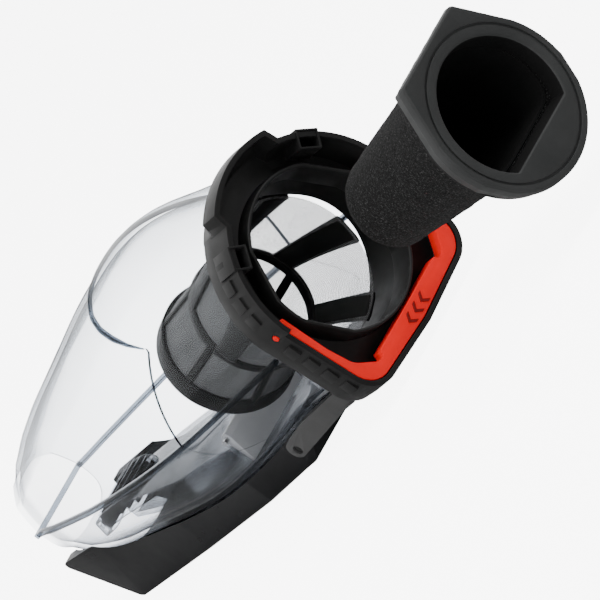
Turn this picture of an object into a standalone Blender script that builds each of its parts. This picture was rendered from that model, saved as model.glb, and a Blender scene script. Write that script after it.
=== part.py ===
"""Dust container module of a handheld vacuum, with its filter sleeve pulled out rearwards.

Lengths are written in millimetres in the filter frame and turned into metres when a mesh is made.
Filter frame: origin at the centre of the cage's rear opening, +X across, +Y rearwards, +Z up.
"""
import math

import bmesh
import bpy
from mathutils import Vector

MM = 0.001
AXIS_HEIGHT = 57.0
REST_SHIFT_Y = 58.0
GAP = 0.3

# Clear bowl
BELT_Z = -9.0
BOWL_WALL = 2.2
ARCH_POINTS = 20
DOME_POWER = 2.25
# Each station: y, half width, top of the dome, bottom of the tray, squareness of the tray
BOWL_STATIONS = (
    (-13, 46.2, 45.6, -45.2, 2.5),
    (-28, 48.6, 49.0, -44.2, 2.5),
    (-60, 52.8, 55.4, -43.4, 2.6),
    (-98, 57.0, 60.5, -46.6, 3.0),
    (-135, 54.6, 54.6, -48.6, 3.0),
    (-171, 49.6, 46.5, -46.4, 3.0),
    (-205, 42.4, 38.2, -42.8, 3.0),
    (-232, 34.6, 29.8, -38.8, 3.0),
    (-256, 27.2, 20.8, -32.6, 3.0),
    (-275, 20.4, 12.6, -23.5, 3.0),
)

# Filter cage
OPENING_RADIUS = 37.0
OPENING_LIP = 1.6
OPENING_FLAT = 1.8
COLLAR_RADIUS = 50.6
HOOD_RADIUS = 56.2
HOOD_HALF_WIDTH = 25.0
COLLAR_WALL = 2.4
COLLAR_FRONT_Y = -18.0
COLLAR_REAR_Y = 4.0
COLLAR_LOW_REAR_Y = 0.4
COLLAR_FLOOR_Y = -11.0
BLOCK_COUNT = 7
BLOCK_TOP_Z = 30.5
BLOCK_PITCH = 9.6
BLOCK_HALF_SIDE = 2.9
BLOCK_RAISE = 0.9
HOOD_TAB_PLACES = (-18, -6, 6, 18)
RECESS_FRAME_ANGLES = (43, 137)
SKIRT_TOP_RADIUS = 42.0
SKIRT_END_RADIUS = 38.6
SKIRT_WALL = 1.8
HOOP_CENTRE = (-72.0, 1.0)
HOOP_TILT = 6.0
HOOP_RADIUS = 27.8
HOOP_WALL = 1.8
HOOP_HALF_BAND = 3.0
CUP_CENTRE = (-106.0, -5.0)
CUP_TILT = 15.0
CUP_RADIUS = 30.0
CUP_WALL = 1.8
CUP_HALF_BAND = 6.5
MESH_WALL = 0.6
RIB_COUNT = 6
RIB_START_ANGLE = 15.0

# Pull bail
BAIL_PIVOT = (-4.6, 0.0)
BAIL_FRONT_Y = -7.0
BAIL_PIN_RADIUS = 1.5
BAIL_PIN_INNER_X = 43.2
BAIL_PIN_OUTER_X = 50.9

# Filter sleeve and its flange
FLANGE_REAR_Y = 159.0
FLANGE_PLATE = 5.0
FLANGE_DEPTH = 10.0
FLANGE_RADIUS = 39.6
FLANGE_TOP_Z = 40.0
GROOVE_OUTER_RADIUS = 36.4
GROOVE_INNER_RADIUS = 35.0
FLANGE_TAB_PLACES = (-15, -5, 5, 15)
SLEEVE_END_Y = 49.0
SLEEVE_WALL = 3.0
CORE_WALL = 1.2
SLEEVE_RADIUS = 33.2
SLEEVE_TAPER = 12.6
SLEEVE_CENTRE_Z = 2.0
SLEEVE_CENTRE_DROP = 3.4
SLEEVE_FLAT_Z = -21.4
CORE_LENGTH_SHARES = (0.0, 0.25, 0.5, 0.75)

# Inlet flap, shoe and bracket
FLAP_PIVOT = (-126.0, -28.5)
SHOE_PIVOT = (-77.5, -47.0)
FLOOR_Z = -57.0
BRACKET_INNER_X = 36.0
BRACKET_OUTER_X = 40.0
HINGE_PIN_RADIUS = 2.0
HINGE_PIN_INNER_X = 31.0
HINGE_PIN_OUTER_X = 39.6
DUCT_WALL = 1.5
# Each station: y, half width, bottom, top
DUCT_STATIONS = (
    (-231, 13.0, -33.6, -24.0),
    (-205, 19.0, -37.4, -26.0),
    (-172, 25.0, -40.6, -28.6),
    (-129, 27.0, -43.0, -30.5),
)
FLAP_HALF_WIDTH = 24.0
FLAP_PIN_RADIUS = 1.2
SCREW_X = 20.0
SCREW_Y = -34.0
SCREW_SEAT_Z = -47.7
MOUTH_HALF_WIDTH = 22.0


def clear_scene():
    for scene_object in list(bpy.data.objects):
        bpy.data.objects.remove(scene_object, do_unlink=True)


def make_material(name, colour, roughness, metallic=0.0, alpha=1.0, transmission=0.0):
    material = bpy.data.materials.new(name)
    material.use_nodes = True
    shader = material.node_tree.nodes["Principled BSDF"]
    shader.inputs["Base Color"].default_value = (*colour, 1.0)
    shader.inputs["Roughness"].default_value = roughness
    shader.inputs["Metallic"].default_value = metallic
    shader.inputs["Alpha"].default_value = alpha
    shader.inputs["Transmission Weight"].default_value = transmission
    material.diffuse_color = (*colour, alpha)
    return material


def add_object(name, mesh_data, material, pivot=(0.0, 0.0, 0.0)):
    """Makes one object from (vertices, faces) in filter-frame millimetres, with its origin at pivot."""
    vertices, faces = mesh_data
    mesh = bpy.data.meshes.new(name)
    local = [((x - pivot[0]) * MM, (y - pivot[1]) * MM, (z - pivot[2]) * MM) for x, y, z in vertices]
    mesh.from_pydata(local, [], faces)
    shape = bmesh.new()
    shape.from_mesh(mesh)
    bmesh.ops.recalc_face_normals(shape, faces=shape.faces)
    shape.to_mesh(mesh)
    shape.free()
    mesh.shade_smooth()
    mesh.set_sharp_from_angle(angle=math.radians(32))
    mesh.materials.append(material)
    piece = bpy.data.objects.new(name, mesh)
    piece.location = (pivot[0] * MM, (pivot[1] + REST_SHIFT_Y) * MM, (pivot[2] + AXIS_HEIGHT) * MM)
    bpy.context.scene.collection.objects.link(piece)
    return piece


def add_tool(name, mesh_data, material):
    """Makes a guide solid that only cuts or joins, and is no part of the object."""
    tool = add_object(name, mesh_data, material)
    tool.hide_render = True
    tool.display_type = "WIRE"
    return tool


def combine(piece, tool, operation):
    modifier = piece.modifiers.new(tool.name, "BOOLEAN")
    modifier.operation = operation
    modifier.solver = "EXACT"
    modifier.object = tool


def merged(parts):
    """Puts several closed solids into one list of vertices and faces."""
    vertices = []
    faces = []
    for part_vertices, part_faces in parts:
        start = len(vertices)
        vertices.extend(part_vertices)
        faces.extend([[index + start for index in face] for face in part_faces])
    return vertices, faces


def loft(rings, closed=False):
    """Skins rings of equal length. An open loft is capped at both ends; a closed one joins up."""
    count = len(rings[0])
    vertices = [point for ring in rings for point in ring]
    faces = []
    spans = len(rings) if closed else len(rings) - 1
    for ring_index in range(spans):
        low = ring_index * count
        high = ((ring_index + 1) % len(rings)) * count
        for index in range(count):
            following = (index + 1) % count
            faces.append([low + index, low + following, high + following, high + index])
    if not closed:
        faces.append(list(range(count))[::-1])
        faces.append([(len(rings) - 1) * count + index for index in range(count)])
    return vertices, faces


def along_y(outline, low, high):
    """Extrudes an (x, z) outline from y = low to y = high."""
    return loft([[(x, low, z) for x, z in outline], [(x, high, z) for x, z in outline]])


def along_x(outline, low, high):
    """Extrudes a (y, z) outline from x = low to x = high."""
    return loft([[(low, y, z) for y, z in outline], [(high, y, z) for y, z in outline]])


def block(x_low, x_high, y_low, y_high, z_low, z_high):
    outline = [(x_low, z_low), (x_high, z_low), (x_high, z_high), (x_low, z_high)]
    return along_y(outline, y_low, y_high)


def rod_x(centre, radius, low, high, sides=20):
    outline = [(centre[0] + y, centre[1] + z) for y, z in circle(radius, sides)]
    return along_x(outline, low, high)


def circle(radius, sides=48):
    return [(radius * math.cos(math.tau * step / sides), radius * math.sin(math.tau * step / sides))
            for step in range(sides)]


def rounded(corners, steps=4):
    """Rounds each (u, v, radius) corner of a closed outline with an arc."""
    outline = []
    total = len(corners)
    for index, (u, v, radius) in enumerate(corners):
        here = Vector((u, v))
        if radius <= 0:
            outline.append((u, v))
            continue
        before = (Vector(corners[index - 1][:2]) - here).normalized()
        after = (Vector(corners[(index + 1) % total][:2]) - here).normalized()
        half_angle = before.angle(after) / 2
        reach = radius / math.tan(half_angle)
        centre = here + (before + after).normalized() * (radius / math.sin(half_angle))
        start = here + before * reach - centre
        end = here + after * reach - centre
        for step in range(steps + 1):
            arm = start.lerp(end, step / steps).normalized() * radius
            outline.append(tuple(centre + arm))
    return outline


def mirrored(half):
    """Completes a left-right symmetrical outline from its right half, which runs bottom to top."""
    return half + [(-x, z) for x, z in reversed(half) if x > 0.01]


def densified(outline, longest):
    """Divides an outline's long edges, so that no edge is longer than a given length."""
    points = []
    for index, start in enumerate(outline):
        end = outline[(index + 1) % len(outline)]
        pieces = max(1, math.ceil(math.dist(start, end) / longest))
        for step in range(pieces):
            share = step / pieces
            points.append((start[0] + (end[0] - start[0]) * share, start[1] + (end[1] - start[1]) * share))
    return points


def inset(outline, distance):
    """Moves an anticlockwise outline inwards by a distance, along its corner bisectors."""
    moved = []
    total = len(outline)
    for index in range(total):
        here = Vector(outline[index])
        before = (here - Vector(outline[index - 1])).normalized()
        after = (Vector(outline[(index + 1) % total]) - here).normalized()
        normal_before = Vector((-before.y, before.x))
        normal_after = Vector((-after.y, after.x))
        bisector = (normal_before + normal_after).normalized()
        moved.append(tuple(here + bisector * (distance / max(bisector.dot(normal_after), 0.5))))
    return moved


def tilted_ring(centre, tilt, radius, shift=0.0, sides=48):
    """A circle across the filter axis, its far side tipped down by tilt degrees, moved along its axis."""
    lean = math.radians(tilt)
    points = []
    for across, up in circle(radius, sides):
        y = centre[0] - up * math.sin(lean) - shift * math.cos(lean)
        z = centre[1] + up * math.cos(lean) - shift * math.sin(lean)
        points.append((across, y, z))
    return points


# ---------------------------------------------------------------- clear bowl

def arch(half_width, height, base_z, power, count=ARCH_POINTS):
    """Half an oval from +X over (or under) to -X; a negative height makes it hang."""
    points = []
    for step in range(count + 1):
        angle = math.pi * step / count
        across = math.cos(angle)
        up = math.sin(angle)
        x = half_width * math.copysign(abs(across) ** (2 / power), across)
        points.append((x, base_z + height * abs(up) ** (2 / power)))
    return points


def half_bowl(upper, grow=0.0):
    """One half of the bowl as a closed shell: open at the rear and at the belt, closed at the nose."""
    side = 1 if upper else -1
    base = BELT_Z + side * GAP / 2
    outer_rings = []
    inner_rings = []
    last = len(BOWL_STATIONS) - 1
    for index, (y, half_width, top, bottom, squareness) in enumerate(BOWL_STATIONS):
        power = DOME_POWER if upper else squareness
        height = (top if upper else bottom) - base + side * grow
        inner_y = y + (BOWL_WALL if index == last else 0)
        outer_rings.append([(x, y, z) for x, z in arch(half_width + grow, height, base, power)])
        shorter = height - side * BOWL_WALL
        inner = arch(half_width - BOWL_WALL, shorter, base, power)
        inner_rings.append([(x, inner_y, z) for x, z in inner])
    count = len(outer_rings[0])
    rings = [outer + inner[::-1] for outer, inner in zip(outer_rings, inner_rings)]
    vertices, faces = loft(rings)
    faces = faces[:-2]
    for index in range(count - 1):
        faces.append([index, index + 1, 2 * count - 2 - index, 2 * count - 1 - index])
    nose = last * 2 * count
    faces.append([nose + index for index in range(count)])
    faces.append([nose + count + index for index in range(count)])
    faces.append([nose, nose + 2 * count - 1, nose + count, nose + count - 1])
    return vertices, faces


def make_bowl(clear, rubber):
    add_object("dust_bowl", half_bowl(True), clear)
    tray = add_object("lower_tray", half_bowl(False), clear)
    mouth = add_tool("tray_mouth_cutter", block(-17, 17, -262, -232, -40, -10.5), clear)
    combine(tray, mouth, "DIFFERENCE")
    make_inlet_duct(clear)
    seal_outline = [(x * 0.985, z * 0.985) for x, z in bowl_section(0)]
    inner = inset(seal_outline, 1.8)
    profile = ((seal_outline, -12.7), (seal_outline, -11.6), (inner, -11.6), (inner, -12.7))
    rings = [[(x, y, z) for x, z in outline] for outline, y in profile]
    add_object("bowl_seal", loft(rings, closed=True), rubber)


def bowl_section(index):
    """The full outer outline of the bowl at one station, anticlockwise from +X."""
    _, half_width, top, bottom, squareness = BOWL_STATIONS[index]
    upper = arch(half_width, top - BELT_Z, BELT_Z, DOME_POWER)
    lower = arch(half_width, bottom - BELT_Z, BELT_Z, squareness)
    return upper + lower[::-1][1:-1]


def frame_corners(y, half_width, low, high):
    return [(-half_width, y, low), (half_width, y, low), (half_width, y, high), (-half_width, y, high)]


def make_inlet_duct(clear):
    """A flat duct inside the nose, wider at its rear, with two ears that carry the flap's pin."""
    outer_rings = []
    inner_rings = []
    for y, half_width, low, high in DUCT_STATIONS:
        outer_rings.append(frame_corners(y, half_width, low, high))
        inner_rings.append(frame_corners(y, half_width - DUCT_WALL, low + DUCT_WALL, high - DUCT_WALL))
    duct = add_object("inlet_duct", loft(outer_rings + inner_rings[::-1], closed=True), clear)
    ear = rounded([(-132, -32, 0), (-132, -26.5, 1), (-123, -26.5, 2), (-123, -31, 2), (-128, -32, 0)], 3)
    for side, name in ((1, "duct_ear_right"), (-1, "duct_ear_left")):
        low, high = sorted((side * 24.6, side * 26.8))
        combine(duct, add_tool(name, along_x(ear, low, high), clear), "UNION")
    hole = add_tool("duct_pin_cutter", rod_x(FLAP_PIVOT, FLAP_PIN_RADIUS + GAP, -28, 28, 16), clear)
    combine(duct, hole, "DIFFERENCE")


def make_flap(gloss, rubber, steel):
    pivot = (0.0, FLAP_PIVOT[0], FLAP_PIVOT[1])
    add_object("flap_pin", rod_x(FLAP_PIVOT, FLAP_PIN_RADIUS, -26.6, 26.6, 16), steel)
    profile = rounded([(-127.6, -43.4, 0.4), (-126.0, -43.4, 0.4), (-123.4, -28.5, 2.0),
                       (-124.6, -25.9, 1.2), (-127.4, -25.9, 1.2), (-128.6, -28.5, 1.0)], 3)
    flap = add_object("inlet_flap", along_x(profile, -FLAP_HALF_WIDTH, FLAP_HALF_WIDTH), gloss, pivot)
    bore = rod_x(FLAP_PIVOT, FLAP_PIN_RADIUS + GAP, -30, 30, 16)
    combine(flap, add_tool("flap_bore_cutter", bore, gloss), "DIFFERENCE")
    seal = [(-128.7, -43.0), (-127.95, -43.0), (-128.2, -39.6), (-128.7, -39.6)]
    add_object("flap_seal", along_x(seal, -23.0, 23.0), rubber, pivot)


# ---------------------------------------------------------------- rear bracket and shoe

def bracket_arm():
    return rounded([(-82.8, -51.4, 4.6), (-34, -46.6, 3), (-24, -44.4, 1.5), (-24, -37.4, 1),
                    (-60, -38.6, 8), (-82.8, -42.4, 4.6)])


def make_bracket(satin, steel):
    arm = bracket_arm()
    bracket = add_object("rear_bracket", along_x(arm, BRACKET_INNER_X, BRACKET_OUTER_X), satin)
    left = add_tool("bracket_left_arm", along_x(arm, -BRACKET_OUTER_X, -BRACKET_INNER_X), satin)
    web = add_tool("bracket_web", block(-37, 37, -40, -28, -47.4, -45.2), satin)
    holes = [rod_z(x, SCREW_Y, 1.9, -50, -40) for x in (-SCREW_X, SCREW_X)]
    pin_holes = rod_x(SHOE_PIVOT, HINGE_PIN_RADIUS + GAP, -45, 45)
    combine(bracket, left, "UNION")
    combine(bracket, web, "UNION")
    combine(bracket, add_tool("bracket_screw_cutter", merged(holes), satin), "DIFFERENCE")
    combine(bracket, add_tool("bracket_pin_cutter", pin_holes, satin), "DIFFERENCE")
    add_object("bracket_screw_right", screw(SCREW_X, SCREW_Y, SCREW_SEAT_Z), steel)
    add_object("bracket_screw_left", screw(-SCREW_X, SCREW_Y, SCREW_SEAT_Z), steel)
    for side, name in ((1, "hinge_pin_right"), (-1, "hinge_pin_left")):
        low, high = sorted((side * HINGE_PIN_INNER_X, side * HINGE_PIN_OUTER_X))
        pivot = (0.0, SHOE_PIVOT[0], SHOE_PIVOT[1])
        add_object(name, rod_x(SHOE_PIVOT, HINGE_PIN_RADIUS, low, high), steel, pivot)


def rod_z(x, y, radius, low, high, sides=16):
    ring = circle(radius, sides)
    return loft([[(x + u, y + v, z) for u, v in ring] for z in (low, high)])


def screw(x, y, seat_z):
    """A pan-head screw pointing up, its head under the web at seat_z."""
    profile = ((2.6, seat_z - 1.6), (3.4, seat_z - 0.9), (3.4, seat_z), (1.5, seat_z), (1.5, seat_z + 3.2))
    ring = circle(1.0, 16)
    return loft([[(x + u * radius, y + v * radius, z) for u, v in ring] for radius, z in profile])


def make_shoe(dark, rubber):
    """The floor shoe: a wedge under the nose, hollowed from above, with a slanted mouth at the front."""
    pivot = (0.0, SHOE_PIVOT[0], SHOE_PIVOT[1])
    half_plan = [(27, -276), (31, -240), (37, -180), (40, -120), (35.4, -88), (35.4, -72)]
    plan = half_plan + [(-x, y) for x, y in reversed(half_plan)]
    side_profile = rounded([(-252, FLOOR_Z, 1.5), (-80.5, FLOOR_Z, 3.5), (-71.5, -48, 4.5), (-76, -41.5, 3),
                            (-100, -36, 2), (-200, -26, 2), (-274, -24, 2)], 4)
    shoe = add_object("nozzle_shoe", along_x(side_profile, -45, 45), dark, pivot)
    plan_solid = loft([[(x, y, z) for x, y in plan] for z in (-65.0, -15.0)])
    combine(shoe, add_tool("shoe_plan", plan_solid, dark), "INTERSECT")
    combine(shoe, add_tool("shoe_bowl_cutter", solid_bowl(0.8), dark), "DIFFERENCE")
    pocket_plan = [(26, -228), (33, -180), (36, -120), (31, -92)]
    pocket_plan = pocket_plan + [(-x, y) for x, y in reversed(pocket_plan)]
    pocket = loft([[(x, y, z) for x, y in pocket_plan] for z in (-54.4, -20.0)])
    combine(shoe, add_tool("shoe_pocket_cutter", pocket, dark), "DIFFERENCE")
    mouth_profile = [(-285, -27), (-262, -54), (-240, -54), (-233, -50), (-233, -22), (-262, -15)]
    mouth = along_x(mouth_profile, -MOUTH_HALF_WIDTH, MOUTH_HALF_WIDTH)
    combine(shoe, add_tool("shoe_mouth_cutter", mouth, dark), "DIFFERENCE")
    slot = block(-31.0, 31.0, -89, -60, -50, -30)
    combine(shoe, add_tool("shoe_ear_cutter", slot, dark), "DIFFERENCE")
    bore = rod_x(SHOE_PIVOT, HINGE_PIN_RADIUS + GAP, -45, 45)
    combine(shoe, add_tool("shoe_bore_cutter", bore, dark), "DIFFERENCE")
    lip = rounded([(-245.4, -53.7, 0.3), (-243.4, -53.7, 0.3), (-244.2, -48.5, 0.3),
                   (-245.2, -48.5, 0.3)], 1)
    reach = MOUTH_HALF_WIDTH - 0.4
    add_object("nozzle_lip", along_x(lip, -reach, reach), rubber, pivot)


def solid_bowl(grow):
    """The bowl's outer form as one solid, enlarged evenly by grow."""
    rings = []
    for y, half_width, top, bottom, squareness in BOWL_STATIONS:
        upper = arch(half_width + grow, top - BELT_Z + grow, BELT_Z, DOME_POWER)
        lower = arch(half_width + grow, bottom - BELT_Z - grow, BELT_Z, squareness)
        rings.append([(x, y, z) for x, z in upper + lower[::-1][1:-1]])
    nose = [(x, y - grow, z) for x, y, z in rings[-1]]
    return loft(rings[:-1] + [nose])


# ---------------------------------------------------------------- filter cage

def collar_outline():
    """The collar's outer edge, anticlockwise: squarish below, round above, with a raised hood."""
    lower = rounded([(-60, -52, 0), (0, -52.2, 0), (46.0, -49.6, 15), (51.4, 0, 0), (51, 20, 0)], 8)
    half = [(x, z) for x, z in lower if x >= 0 and z < -0.5]
    for step in range(11):
        angle = math.radians(2 + step * 5.5)
        half.append((COLLAR_RADIUS * math.cos(angle), COLLAR_RADIUS * math.sin(angle)))
    half.append((HOOD_HALF_WIDTH + 0.8, 43.6))
    hood_start = math.acos(HOOD_HALF_WIDTH / HOOD_RADIUS)
    for step in range(6):
        angle = hood_start + (math.pi / 2 - hood_start) * step / 5
        half.append((HOOD_RADIUS * math.cos(angle), HOOD_RADIUS * math.sin(angle)))
    half[-1] = (0.0, HOOD_RADIUS)
    return densified(mirrored(half), 6.0)


def projected_circle(outline, radius):
    """A circle with one point in the direction of each outline point."""
    points = []
    for x, z in outline:
        angle = math.atan2(z, x)
        points.append((radius * math.cos(angle), radius * math.sin(angle)))
    return points


def make_collar(satin, red):
    outer = collar_outline()
    inner = inset(outer, COLLAR_WALL)
    hole = projected_circle(outer, OPENING_RADIUS + OPENING_LIP + GAP)
    profile = ((outer, COLLAR_FRONT_Y), (outer, COLLAR_REAR_Y), (inner, COLLAR_REAR_Y),
               (inner, COLLAR_FLOOR_Y + 0.6), (hole, COLLAR_FLOOR_Y + 1.4), (hole, COLLAR_FLOOR_Y - 0.4),
               (inner, COLLAR_FLOOR_Y - 0.4), (inner, COLLAR_FRONT_Y))
    rings = [[(x, y, z) for x, z in outline] for outline, y in profile]
    collar = add_object("cage_collar", loft(rings, closed=True), satin)
    low_cut = block(-60, 60, COLLAR_LOW_REAR_Y, 10, -60, -2)
    combine(collar, add_tool("collar_low_cutter", low_cut, satin), "DIFFERENCE")
    pin_cut = merged([rod_x(BAIL_PIVOT, BAIL_PIN_RADIUS + GAP, low, low + 16) for low in (-56, 40)])
    combine(collar, add_tool("collar_pin_cutter", pin_cut, satin), "DIFFERENCE")
    combine(collar, add_tool("collar_blocks", collar_blocks(), satin), "UNION")
    combine(collar, add_tool("recess_frames", recess_frames(), satin), "UNION")
    for side, name in ((1, "bail_pin_right"), (-1, "bail_pin_left")):
        low, high = sorted((side * BAIL_PIN_INNER_X, side * BAIL_PIN_OUTER_X))
        add_object(name, rod_x(BAIL_PIVOT, BAIL_PIN_RADIUS, low, high), red,
                   (0.0, BAIL_PIVOT[0], BAIL_PIVOT[1]))


def outline_x(z):
    """Half width of the collar's outer edge at a height."""
    if z > 0:
        return math.sqrt(COLLAR_RADIUS ** 2 - z * z)
    return COLLAR_RADIUS + 0.7 + z * 0.109


def collar_blocks():
    """Square blocks along both sides of the collar, and small tabs along the hood's front edge."""
    blocks = []
    for side in (1, -1):
        for step in range(BLOCK_COUNT):
            z = BLOCK_TOP_Z - step * BLOCK_PITCH
            edge = outline_x(z)
            low, high = sorted((side * (edge - 1.6), side * (edge + BLOCK_RAISE)))
            blocks.append(block(low, high, -17.6, -11.6, z - BLOCK_HALF_SIDE, z + BLOCK_HALF_SIDE))
    for x in HOOD_TAB_PLACES:
        top = math.sqrt(HOOD_RADIUS ** 2 - x * x)
        blocks.append(block(x - 1.8, x + 1.8, -17.6, -14.6, top - 1.4, top + 1.5))
    return merged(blocks)


def recess_frames():
    """Thin rectangular frames standing in the collar's dish, one at each upper side."""
    frames = []
    for angle in RECESS_FRAME_ANGLES:
        turn = math.radians(angle)
        out = Vector((math.cos(turn), math.sin(turn)))
        across = Vector((-out.y, out.x))
        outer = [out * radius + across * shift
                 for radius, shift in ((40.6, -4.6), (46.4, -4.6), (46.4, 4.6), (40.6, 4.6))]
        inner = [out * radius + across * shift
                 for radius, shift in ((41.5, -3.7), (45.5, -3.7), (45.5, 3.7), (41.5, 3.7))]
        rings = [[(point.x, y, point.y) for point in outline]
                 for outline, y in ((outer, -10.6), (outer, -2.4), (inner, -2.4), (inner, -10.6))]
        frames.append(loft(rings, closed=True))
    return merged(frames)


def opening_ring(radius, sides=72):
    """The opening's circle with shallow flats on both sides."""
    points = []
    for across, up in circle(radius, sides):
        angle = math.degrees(math.atan2(up, abs(across)))
        for low, high in ((10, 50), (-45, -9)):
            if low < angle < high:
                middle = math.radians((low + high) / 2)
                chord = radius - OPENING_FLAT
                turn = math.radians(angle) - middle
                span = min(radius, chord / math.cos(turn))
                across, up = (math.copysign(span * math.cos(math.radians(angle)), across),
                              span * math.sin(math.radians(angle)))
        points.append((across, up))
    return points


def make_funnel(satin):
    """The opening's tube and the scalloped skirt beyond it."""
    inner = opening_ring(OPENING_RADIUS)
    outer = opening_ring(OPENING_RADIUS + OPENING_LIP)
    skirt_top = circle(SKIRT_TOP_RADIUS, 72)
    skirt_end = circle(SKIRT_END_RADIUS, 72)
    skirt_in_top = circle(SKIRT_TOP_RADIUS - SKIRT_WALL - 0.6, 72)
    skirt_in_end = circle(SKIRT_END_RADIUS - SKIRT_WALL, 72)

    def flat(outline, y):
        return [(x, y, z) for x, z in outline]

    def scalloped(outline):
        points = []
        for x, z in outline:
            angle = math.atan2(z, x)
            points.append((x, -35.0 + 6.0 * math.cos(2 * angle), z))
        return points

    rings = [flat(inner, 0), flat(outer, 0), flat(outer, -13.2), flat(skirt_top, -15), scalloped(skirt_end),
             scalloped(skirt_in_end), flat(skirt_in_top, -17), flat(inner, -15.2)]
    add_object("cage_funnel", loft(rings, closed=True), satin)


def cage_point(angle, along):
    """A point of the basket's surface: along runs 0 at the skirt, 1 at the hoop, 2 at the cup."""
    stops = ((-27.0, 0.0, 0.0, 35.4), (*HOOP_CENTRE, HOOP_TILT, 26.3), (*CUP_CENTRE, CUP_TILT, 28.6))
    low = min(int(along), 1)
    share = along - low
    y, z, tilt, radius = [a + (b - a) * share for a, b in zip(stops[low], stops[low + 1])]
    lean = math.radians(tilt)
    up = radius * math.sin(angle)
    return Vector((radius * math.cos(angle), y - up * math.sin(lean), z + up * math.cos(lean)))


def mesh_cone(along_low, along_high, sides=48):
    rings = []
    for along, grow in ((along_low, 0), (along_high, 0), (along_high, MESH_WALL), (along_low, MESH_WALL)):
        ring = []
        for step in range(sides):
            angle = math.tau * step / sides
            outward = Vector((math.cos(angle), 0, math.sin(angle)))
            ring.append(tuple(cage_point(angle, along) + outward * grow))
        rings.append(ring)
    return loft(rings, closed=True)


def rib(angle, along_low, along_high, half_width, thickness, steps=8):
    """A rib lying just outside the mesh, its section a rectangle; its far end sinks into the next band."""
    rings = []
    outward = Vector((math.cos(angle), 0, math.sin(angle)))
    across = Vector((-math.sin(angle), 0, math.cos(angle)))
    for step in range(steps + 1):
        along = along_low + (along_high - along_low) * step / steps
        lift = MESH_WALL + GAP if step < steps else 0.0
        foot = cage_point(angle, along) + outward * lift
        rings.append([tuple(foot + across * side + outward * up)
                      for side, up in ((-half_width, 0), (half_width, 0), (half_width, thickness),
                                       (-half_width, thickness))])
    return loft(rings)


def make_basket(satin, mesh_grey):
    add_object("upper_mesh", mesh_cone(0.08, 0.88), mesh_grey)
    add_object("lower_mesh", mesh_cone(1.13, 1.74), mesh_grey)
    angles = [math.radians(RIB_START_ANGLE + 360 / RIB_COUNT * step) for step in range(RIB_COUNT)]
    hoop_inner = HOOP_RADIUS - HOOP_WALL
    band = ((HOOP_RADIUS, -HOOP_HALF_BAND), (HOOP_RADIUS, HOOP_HALF_BAND), (hoop_inner, HOOP_HALF_BAND),
            (hoop_inner, -HOOP_HALF_BAND))
    hoop = [tilted_ring(HOOP_CENTRE, HOOP_TILT, radius, shift) for radius, shift in band]
    frame = add_object("middle_frame", loft(hoop, closed=True), satin)
    upper_ribs = merged([rib(angle, 0.36, 0.975, 3.2, 1.6) for angle in angles])
    combine(frame, add_tool("upper_ribs", upper_ribs, satin), "UNION")
    inner = CUP_RADIUS - CUP_WALL
    profile = ((0.4, CUP_HALF_BAND), (CUP_RADIUS - 4, CUP_HALF_BAND), (CUP_RADIUS, CUP_HALF_BAND - 2.5),
               (CUP_RADIUS, -CUP_HALF_BAND), (inner, -CUP_HALF_BAND), (inner, CUP_HALF_BAND - 3.2),
               (inner - 2.4, CUP_HALF_BAND - CUP_WALL), (0.4, CUP_HALF_BAND - CUP_WALL))
    rings = [tilted_ring(CUP_CENTRE, CUP_TILT, radius, shift) for radius, shift in profile]
    cup = add_object("basket_cup", loft(rings), satin)
    lower_ribs = merged([rib(angle, 1.12, 1.9, 2.2, 1.4) for angle in angles])
    combine(cup, add_tool("lower_ribs", lower_ribs, satin), "UNION")


def make_bail(red):
    """The U-shaped pull bar: it lies in the collar's dish and swings out on two pins."""
    boundary = [(x, z) for x, z in inset(collar_outline(), COLLAR_WALL + 0.5) if z < 3.0]
    right_outer = sorted([(x, z) for x, z in boundary if x > 0], key=lambda point: point[0])
    right = [(0.0, min(z for _, z in boundary))] + [point for point in right_outer if point[1] < -30]
    rising = sorted([point for point in right_outer if point[1] >= -30], key=lambda point: point[1])
    right = right + rising
    inner = rounded([(50, 3.4, 0), (43.4, 3.4, 1), (42.4, -20, 12), (40.2, -33, 9), (31.5, -42.4, 4),
                     (27.8, -42.4, 1), (27.0, -40.0, 1), (-30, -40.0, 0)], 4)
    inner = [(x, z) for x, z in inner if 0 < x < 44]
    half = right[:-1] + [(47.6, 3.4)] + inner
    outline = half + [(-x, z) for x, z in reversed(half) if x > 0.01]
    pivot = (0.0, BAIL_PIVOT[0], BAIL_PIVOT[1])
    bail = add_object("pull_bail", along_y(outline, BAIL_FRONT_Y, 0.0), red, pivot)
    bore = rod_x(BAIL_PIVOT, BAIL_PIN_RADIUS + GAP, -60, 60)
    combine(bail, add_tool("bail_bore_cutter", bore, red), "DIFFERENCE")
    arrow = [(0.0, -48.0), (5.4, -44.6), (1.6, -44.6), (1.6, -41.6), (-1.6, -41.6), (-1.6, -44.6),
             (-5.4, -44.6)]
    add_object("bail_mark", along_y(arrow, GAP, 0.8), red, pivot)


# ---------------------------------------------------------------- filter sleeve

def d_section(radius, centre_z, flat_z, sides=48, softness=3.0):
    """A circle whose lower side is pressed flat, with soft corners."""
    points = []
    for across, up in circle(radius, sides):
        rise = centre_z + up - flat_z
        points.append((across, flat_z + 0.5 * (rise + math.hypot(rise, softness))))
    return points


def sleeve_section(share, shrink=0.0):
    """The sleeve's section; share runs from 0 at the flange to 1 at the closed end."""
    radius = SLEEVE_RADIUS - SLEEVE_TAPER * share - shrink
    centre = SLEEVE_CENTRE_Z - SLEEVE_CENTRE_DROP * share
    return d_section(radius, centre, SLEEVE_FLAT_Z + shrink)


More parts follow.
